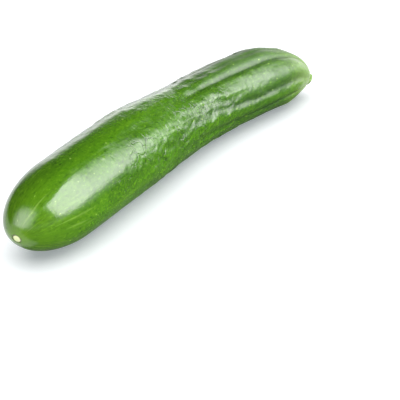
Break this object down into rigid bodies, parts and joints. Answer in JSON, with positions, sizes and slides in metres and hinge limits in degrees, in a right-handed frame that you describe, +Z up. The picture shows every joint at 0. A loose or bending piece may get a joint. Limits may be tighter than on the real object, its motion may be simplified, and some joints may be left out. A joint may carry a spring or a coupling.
{
  "type": "cucumber",
  "caption": "Whole green slicing cucumber with a plump rounded blossom end, a slimmer ribbed stem end with a short cut stem, and a gently bowed body.",
  "frame": {"origin": "on the surface that the cucumber lies on, under the middle of its box", "axes": "+X along the cucumber from the blossom end to the stem end, +Y towards the side that the body bows out to, +Z up from the surface that it lies on"},
  "size_m": [0.246, 0.051, 0.0421],
  "materials": {
    "skin": "moist, waxy green peel, smooth and glossy at the blossom end and finely wrinkled towards the stem end"
  },
  "bodies": {
    "root": {"cucumber": "skin"}
  },
  "joints": []
}
